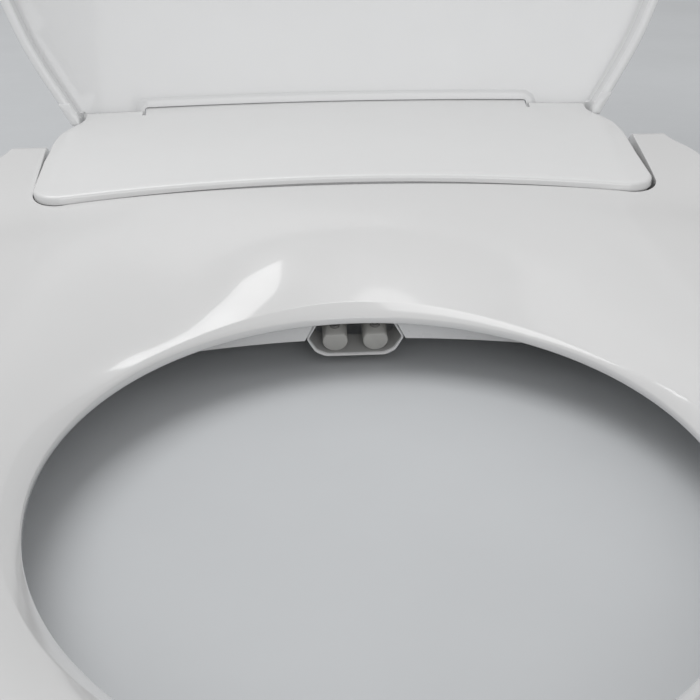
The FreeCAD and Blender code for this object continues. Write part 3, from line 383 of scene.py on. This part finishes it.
def under_height(x, y):
    """Underside of the seat: flat under the ring, sloping over the base, round under the ears."""
    deck = DECK_Z + DECK_GAP + (y - DECK_FRONT) * DECK_RUN
    reach = 151.5 - 2.5 * min(max((y + 30) / 10, 0), 1)
    over_base = min(max((reach - abs(x)) / 3.5, 0), 1)
    low = EDGE_LOW
    if y > -45:
        low = EDGE_LOW - 3.6 * min((y + 45) / 20, 1)
    if y > SEAT_AXIS[0]:
        low = SEAT_AXIS[1] - math.sqrt(max(EAR_RADIUS ** 2 - (y - SEAT_AXIS[0]) ** 2, 0))
    return low + (max(deck, low) - low) * over_base


def front_bow(x):
    return PANEL_FRONT - PANEL_BOW * (x / 150) ** 2


def seat_loop():
    """Seat outline with its two ears and the bay for the top panel, run counter-clockwise."""
    nose = superellipse(SEAT_HALF, SEAT_FRONT, 2.3, math.pi, 2 * math.pi, 200)
    side = spline([(190, CENTRE_Y), (189, -150), (186, -60), (177.5, -14), (167.5, 8), (165.3, 29.95)])
    ear_tip = corner((165.3, -10), (165.3, 29.95), (150, 29.95), 2.2)
    inner_tip = corner((165, 29.95), (EAR_INNER, 29.95), (EAR_INNER, 0), 1.2)
    bay = corner((149.4, 0), (147.7, -55.6), (120, front_bow(120) - BOW_GAP), 13.5, 24)
    bow_x = np.linspace(bay[-1][0] - 2, 2 - bay[-1][0], 130)
    bow = np.stack([bow_x, [front_bow(x) - BOW_GAP for x in bow_x]], 1)
    right = np.vstack([side[:-6], ear_tip, inner_tip, bay])
    left = mirrored(right)
    beside = (left[:, 0] > -BAY_SIDE) & (left[:, 1] > -56)
    left[beside, 0] += BAY_PLAY
    whole = np.vstack([nose, right[1:], bow, left])
    return resample(whole, 1.9, closed=True)


def seat_shell():
    skin = Skin()
    loop = seat_loop()
    normal = inward(loop)
    in_bay = (np.abs(loop[:, 0]) < BAY_SIDE) & (loop[:, 1] > BAY_FRONT)
    radius = np.where(in_bay, BAY_EDGE, SEAT_EDGE)
    rear = loop[:, 1] > EAR_FRONT
    radius = np.where(rear & ~in_bay, EAR_EDGE, radius)
    for _ in range(12):
        radius = (np.roll(radius, 1) + radius + np.roll(radius, -1)) / 3
    rings = []
    for part_in, part_down in quarter(7)[::-1]:
        spots = loop + normal * (radius * part_in)[:, None]
        heights = np.array([seat_height(x, y) for x, y in spots]) - radius * part_down
        rings.append(skin.ring(spots, heights))
    top_edge = rings[0]
    edge_z = np.array([skin.verts[k][2] for k in rings[-1]])
    low = np.array([under_height(x, y) for x, y in loop])
    skirt = (np.abs(loop[:, 0]) > BAY_SIDE) | (loop[:, 1] < -200)
    low = np.where(skirt & (loop[:, 1] < EAR_FRONT), SKIRT_LOW, low)
    foot = loop.copy()
    for k, (x, y) in enumerate(loop):
        if abs(x) < 146.5 and BAY_FRONT < y < EAR_FRONT:
            swing = math.hypot(SEAT_AXIS[0] - y, edge_z[k] - SEAT_AXIS[1])
            for _ in range(6):
                deck = DECK_Z + DECK_GAP + (foot[k, 1] - DECK_FRONT) * DECK_RUN
                foot[k, 1] = SEAT_AXIS[0] - math.sqrt(swing ** 2 - (deck - SEAT_AXIS[1]) ** 2)
            low[k] = deck
    low = np.minimum(low, edge_z - 0.3)
    for share in (0.15, 0.5, 0.85):
        rings.append(skin.ring(loop + (foot - loop) * share, edge_z + (low - edge_z) * share))
    rings.append(skin.ring(foot, low))
    under_edge = skin.ring(foot + normal * 2.8, low)
    rings.append(under_edge)
    skin.walls(rings)

    hole = opening_loop()
    out = inward(hole)
    width = np.array([flank_width(x, y) for x, y in hole])
    rows = [skin.ring(hole + out * 2.4, EDGE_LOW), skin.ring(hole + out * 0.35, EDGE_LOW),
            skin.ring(hole, EDGE_LOW + 0.35), skin.ring(hole, BAND_TOP - 0.35),
            skin.ring(hole + out * 0.12, BAND_TOP)]
    for share in (0.07, 0.5, 0.93, 1.0):
        spots = hole + out * (width * share)[:, None]
        bulge = 0.2 * math.sin(math.pi * share)
        rows.append(skin.ring(spots, BAND_TOP + FLANK_SLOPE * width * share + bulge))
    for extra in (0.4, 1.2, 2.4, 4.2, 6.6):
        spots = hole + out * (width + extra)[:, None]
        rows.append(skin.ring(spots, [seat_height(x, y) for x, y in spots]))
    skin.walls(rows)
    skin.sheet(top_edge, [rows[-1]], seat_height, 2.8, 1.6)
    skin.sheet(under_edge, [rows[0]], under_height, 6.0, 2.6, up=False)
    skin.build("seat_upper_shell_visual", "seat", "seat_white", seat_gloss,
               replaces=["seat_upper_shell"], flat_angle=50)


# --- top panel ------------------------------------------------------------------------------------

def panel_height(x, y):
    return PANEL_Z + PANEL_SLOPE * (y - PANEL_FRONT) - PANEL_CROWN * (x / 140) ** 2


def panel_loop():
    """Panel outline, counter-clockwise: bowed front, round corners, S-shaped rear ones, leg recesses."""
    bow_x = np.linspace(-128, 128, 120)
    bow = np.stack([bow_x, [front_bow(x) for x in bow_x]], 1)
    front_corner = corner((118, front_bow(118)), (146.1, -53.8), (146.6, -10), 13.0, 24)
    flank = spline([(146.6, -10), (147.4, 14), (147.0, 24), (145.2, 34), (141.2, 43), (137.2, 49.5),
                    (135.3, 55)])
    slit = [(LEG_OUTER, 57), (LEG_OUTER, LEG_EDGE), (LEG_INNER + 0.9, LEG_EDGE), (LEG_INNER + 0.8, 57.4),
            (LEG_INNER - 0.7, 57.4), (LEG_INNER - 0.35, PANEL_REAR - 0.5)]
    right = np.vstack([front_corner, flank, slit])
    bow = bow[(np.abs(bow[:, 0]) < front_corner[0][0] - 1)]
    left = mirrored(right)
    beside = (left[:, 0] < -125) * np.clip((left[:, 1] + 50) / 15, 0, 1)
    beside = beside * np.clip((10 - left[:, 1]) / 14, 0, 1)
    left[:, 0] -= PANEL_PLAY * beside
    return resample(np.vstack([bow, right, left]), 1.5, closed=True)


def top_panel():
    skin = Skin()
    loop = panel_loop()
    normal = inward(loop)
    soft = np.where(loop[:, 1] < 30, 1.5, 0.5)
    for _ in range(10):
        soft = (np.roll(soft, 1) + soft + np.roll(soft, -1)) / 3
    rings = []
    for part_in, part_down in quarter(7)[::-1]:
        spots = loop + normal * (soft * part_in)[:, None]
        drop = soft * part_down
        rings.append(skin.ring(spots, [panel_height(x, y) - d for (x, y), d in zip(spots, drop)]))

    def bottom(x, y):
        return panel_height(x, y) - PANEL_SKIN * (1 + 0.3 * (x / 150) ** 2)

    rings.append(skin.ring(loop, [bottom(x, y) + 0.3 for x, y in loop]))
    inset = loop + normal * 0.4
    rings.append(skin.ring(inset, [bottom(x, y) for x, y in inset]))
    skin.walls(rings)
    skin.sheet(rings[0], [], panel_height, 4.0, 1.6)
    skin.sheet(rings[-1], [], bottom, 12.0, 3.0, up=False)
    skin.build("top_panel_visual", "base", "panel_white", panel_gloss,
               replaces=["top_panel"], flat_angle=50)


# --- lid ------------------------------------------------------------------------------------------

def lid_matrix():
    """From the lid's own frame, hinge axis at its origin, to its open place."""
    return (Matrix.Translation((0, LID_AXIS[0] * MM, LID_AXIS[1] * MM))
            @ Matrix.Rotation(math.radians(LID_ANGLE), 4, "X"))


def lid_loop():
    """Lid outline about its hinge axis, counter-clockwise, with the recess over the panel's rear part."""
    centre = CENTRE_Y - LID_AXIS[0]
    half, foot = SEAT_HALF + 0.5, 142.5
    nose = superellipse(half, centre - LID_TOE, 2.3, math.pi, 2 * math.pi, 200, centre)
    side = spline([(half, centre), (half, -185), (184.5, -110), (168.5, -60), (foot, LID_REAR)])
    recess = [(foot, LID_REAR), (LEG_INNER + 1, LID_REAR), (LEG_INNER + 0.3, -21.4)]
    across = np.linspace(LEG_INNER - 0.5, 0, 30)
    over_panel = np.stack([across, -23.4 + PANEL_CROWN * (across / 140) ** 2], 1)
    right = np.vstack([side[:-1], recess, over_panel])
    return resample(np.vstack([nose, right[1:], mirrored(right)[1:]]), 1.3, closed=True)


def lid_foot(skin, side):
    """Pointed end of the lid's side rim, reaching down beside the panel."""
    corners = [(141.6, -12.4), (148.8, -24.3), (142.2, -24.3), (137.8, -17.0), (137.2, -12.4)]
    loop = [corner(corners[k - 1], spot, corners[(k + 1) % 5], 0.6, 5)
            for k, spot in enumerate(corners)]
    loop = np.vstack(loop) * (side, 1)
    if side < 0:
        loop = loop[::-1]
    middle = loop.mean(0)
    low = LID_INNER - RIM_DEPTH - 0.15
    rings = [skin.ring(loop, LID_INNER + 0.8), skin.ring(loop, low + 0.8)]
    for shrink, rise in ((0.94, 0.25), (0.84, 0.0), (0.05, 0.0)):
        rings.append(skin.ring(middle + (loop - middle) * shrink, low + rise))
    skin.walls(rings)
    skin.faces.append(tuple(rings[0]))
    skin.faces.append(tuple(reversed(rings[-1])))


def lid_shell():
    skin = Skin()
    loop = lid_loop()
    normal = inward(loop)
    rim = np.where((loop[:, 1] > -30) & (np.abs(loop[:, 0]) < 137.6), 0.0, 1.0)
    outer_edge = 1.2 + 4.3 * rim
    for _ in range(6):
        outer_edge = (np.roll(outer_edge, 1) + outer_edge + np.roll(outer_edge, -1)) / 3
    back = LID_INNER + LID_SKIN
    rings = []
    for part_in, part_down in quarter(7)[::-1]:
        spots = loop + normal * (outer_edge * part_in)[:, None]
        rings.append(skin.ring(spots, back - outer_edge * part_down))
    low = LID_INNER - RIM_DEPTH * rim
    turn = 0.8 * rim + 0.05
    rings.append(skin.ring(loop, low + turn))
    rings.append(skin.ring(loop + normal * (turn * 0.3)[:, None], low + turn * 0.3))
    rings.append(skin.ring(loop + normal * turn[:, None], low))
    inner_turn = RIM_WIDTH - turn
    rings.append(skin.ring(loop + normal * inner_turn[:, None], low))
    rings.append(skin.ring(loop + normal * (RIM_WIDTH - 0.3 * turn)[:, None], low + turn * 0.3))
    rings.append(skin.ring(loop + normal * RIM_WIDTH, low + turn))
    fillet = 2.0 * rim + 0.02
    for part_in, part_down in quarter(6):
        spots = loop + normal * (RIM_WIDTH + fillet * part_in)[:, None]
        rings.append(skin.ring(spots, LID_INNER - fillet * part_down))
    skin.walls(rings)
    for side in (-1, 1):
        lid_foot(skin, side)
    skin.sheet(rings[0], [], lambda x, y: back, 9.0, 4.0)
    skin.sheet(rings[-1], [], lambda x, y: LID_INNER, 9.0, 4.0, up=False)
    skin.build("lid_shell_visual", "lid", "lid_white", lid_gloss, lid_matrix(), ["lid_shell"],
               flat_angle=50)


# --- nozzles and their mouth ----------------------------------------------------------------------

def nozzle_matrix(side):
    return (Matrix.Translation((side * NOZZLE_PITCH / 2 * MM, TIP[0] * MM, TIP[1] * MM))
            @ Matrix.Rotation(NOZZLE_TILT, 4, "X") @ Matrix.Rotation(math.radians(90), 4, "X"))


def nozzle_section(share, count=72):
    """Cross-section: a shield with a flat top at the face, easing to a round tube."""
    angle = np.linspace(0, 2 * math.pi, count, endpoint=False) + math.pi / 2
    c, s = np.cos(angle), np.sin(angle)
    round_one = np.stack([c, s], 1) * NOZZLE_R
    slope = np.minimum(1, TIP_FLAT / np.maximum(s * NOZZLE_R, 1e-6))
    limit = (NOZZLE_R * 1.12) / np.maximum(np.abs(c) * 0.86 + s * 0.72, 1e-6)
    reach = np.where(s > 0, np.minimum(np.minimum(NOZZLE_R * slope, limit), NOZZLE_R), NOZZLE_R)
    shield = np.stack([c * reach, s * reach], 1)
    return shield + (round_one - shield) * share


def nozzle_tip(side, label):
    """Tip of one nozzle: faceted face, spray port with a small hood coloured dark as painted shade of the
    hole, and a seam where it screws on.
    """
    skin = Skin()
    rings = []
    for back, share, shrink in ((0.0, 0.0, 0.9), (-0.2, 0.0, 0.955), (-0.6, 0.0, 1.0), (-2.2, 0.12, 1.0),
                                (-4.5, 0.35, 1.0), (-7.5, 0.7, 1.0), (-11, 1.0, 1.0),
                                (-TIP_LENGTH + 0.3, 1.0, 1.0), (-TIP_LENGTH, 1.0, 0.97)):
        rings.append(skin.ring(nozzle_section(share) * shrink, back))
    skin.walls(rings)
    for ring, up in ((rings[0], True), (rings[-1], False)):
        skin.faces.append(tuple(ring) if up else tuple(reversed(ring)))
    body = label.replace("_wash", "_nozzle")
    skin.build(f"{label}_nozzle_tip_visual", body, "nozzle_grey", nozzle_matte, nozzle_matrix(side),
               [f"{label}_nozzle_tip"], flat_angle=35)
    port = Skin()
    rows = []
    profile = ((2.3, 4.2), (2.2, 5.25), (1.6, 5.6), (1.15, 5.55), (1.0, 5.0), (0.95, 3.6))
    for radius, height in profile:
        angle = np.linspace(0, 2 * math.pi, 30, endpoint=False)
        spots = np.stack([radius * np.cos(angle), -6.0 + radius * np.sin(angle)], 1)
        rows.append(port.ring(spots, height - 0.08 * (spots[:, 1] + 6)))
    port.walls(rows)
    port.faces.append(tuple(rows[-1]))
    port.faces.append(tuple(reversed(rows[0])))
    turned = nozzle_matrix(side) @ Matrix.Rotation(math.radians(-90), 4, "X")
    port.verts = [(x, -y, z) for x, y, z in port.verts]
    # the whole port, hood and cup, is coloured dark as painted shade of the spray hole
    port.build(f"{label}_spray_port", body, "nozzle_grey", port_painted_shade, turned)


def mouth_section(grow):
    """Mouth outline seen from the front: a wide octagon with rounded lower corners."""
    half, low, top = 20.3 + grow, 4.7 - grow, 19.0 + grow
    corners = [(half, 12.0), (16.2 + 0.6 * grow, top), (-16.2 - 0.6 * grow, top), (-half, 12.0),
               (-half + 3.7, low + 2.0), (-half + 8.0, low), (half - 8.0, low), (half - 3.7, low + 2.0)]
    radii = [1.4, 1.8, 1.8, 1.4, 4.0, 5.0, 5.0, 4.0]
    path = []
    for k, (spot, radius) in enumerate(zip(corners, radii)):
        path.append(corner(corners[k - 1], spot, corners[(k + 1) % 8], radius, 8))
    return resample(np.vstack(path), 1.0, closed=True)


def nozzle_mouth():
    """Thin lip and sloping tunnel around the two nozzles; the tunnel is coloured dark grey as painted shade
    inside the mouth.
    """
    lip = mouth_skin(((1.0, 0.9), (1.0, 0.4), (0.85, 0.0), (0.45, -0.2), (0.1, 0.0), (0.0, 0.5),
                      (0.0, 0.9)))
    lip.build("nozzle_mouth_visual", "base", "base_white", body_satin, None, ["nozzle_mouth"],
              flat_angle=40)
    # the tunnel carries painted shade: a dark grey where the white mouth is only in shadow
    tunnel = mouth_skin(((0.9, 1.0), (0.0, 1.0), (0.0, 5.0), (0.0, 12.0), (0.9, 12.0)))
    tunnel.build("nozzle_tunnel", "base", "base_white", tunnel_painted_shade, None, (), flat_angle=40)


def mouth_skin(rows):
    skin = Skin()
    count = len(mouth_section(0))
    rings = []
    for grow, back in rows:
        loop = mouth_section(grow)
        length = float(np.sum(np.hypot(*(np.roll(loop, -1, 0) - loop).T)))
        section = resample(loop, length / count, closed=True)[:count]
        start = len(skin.verts)
        skin.verts += [(x, DECK_FRONT + back, z + back * DECK_RUN) for x, z in section]
        rings.append(list(range(start, start + len(section))))
    skin.walls(rings)
    skin.wall(rings[-1], rings[0])
    return skin


# --- studio ---------------------------------------------------------------------------------------

def area_light(name, at, toward, size, power, size_y=None, roll=0.0):
    lamp = bpy.data.lights.new(name, "AREA")
    lamp.energy = power
    lamp.shape = "RECTANGLE"
    lamp.size = size
    lamp.size_y = size_y or size
    thing = bpy.data.objects.new(name, lamp)
    bpy.context.scene.collection.objects.link(thing)
    thing.location = at
    aim = (Vector(toward) - Vector(at)).to_track_quat("-Z", "Y").to_matrix() @ Matrix.Rotation(roll, 3, "Z")
    thing.rotation_euler = aim.to_euler()
    thing.visible_camera = False


def studio():
    world = bpy.data.worlds.new("studio")
    bpy.context.scene.world = world
    world.use_nodes = True
    sky = world.node_tree.nodes["Background"]
    sky.inputs["Color"].default_value = (0.95, 0.95, 0.95, 1)
    sky.inputs["Strength"].default_value = 0.54
    area_light("key_soft", (-0.7, 0.2, 2.2), (0, -0.15, 0), 1.8, 26)
    area_light("fill_front", (0.2, -2.0, 0.45), (0, 0.0, 0.12), 1.3, 11)
    area_light("window", (-0.024, -0.036, 0.19), (-0.050, -0.128, 0.033), 0.012, 0.0030,
               size_y=0.018, roll=math.radians(35))
    bpy.ops.mesh.primitive_plane_add(size=6)
    floor = bpy.context.object
    floor.name = "floor"
    paper = material("paper", (0.56, 0.575, 0.59), 0.7, bump=0.1, grain=30, vary=0.05, shade=0.02)
    floor.data.materials.append(paper)


def camera():
    """Camera above the seat's front, looking down at the nozzles and the top panel."""
    eye = Vector((-0.02443, -0.61956, 0.22056))
    yaw, pitch, roll = 0.0436, 0.4003, -0.0130
    ahead = Vector((math.sin(yaw) * math.cos(pitch), math.cos(yaw) * math.cos(pitch), -math.sin(pitch)))
    level = Vector((math.cos(yaw), -math.sin(yaw), 0))
    above = level.cross(ahead)
    right = level * math.cos(roll) + above * math.sin(roll)
    up = above * math.cos(roll) - level * math.sin(roll)
    lens = bpy.data.cameras.new("camera")
    lens.lens = 64.79
    lens.sensor_width = 36
    lens.clip_start = 0.02
    thing = bpy.data.objects.new("camera", lens)
    bpy.context.scene.collection.objects.link(thing)
    turn = Matrix((right, up, -ahead)).transposed().to_4x4()
    thing.matrix_world = Matrix.Translation(eye) @ turn
    bpy.context.scene.camera = thing


camera()
studio()
dress_cad_nodes()
seat_shell()
top_panel()
lid_shell()
nozzle_mouth()
for sign, wash in ((-1, "rear_wash"), (1, "front_wash")):
    nozzle_tip(sign, wash)

bpy.context.scene.view_settings.view_transform = "Standard"
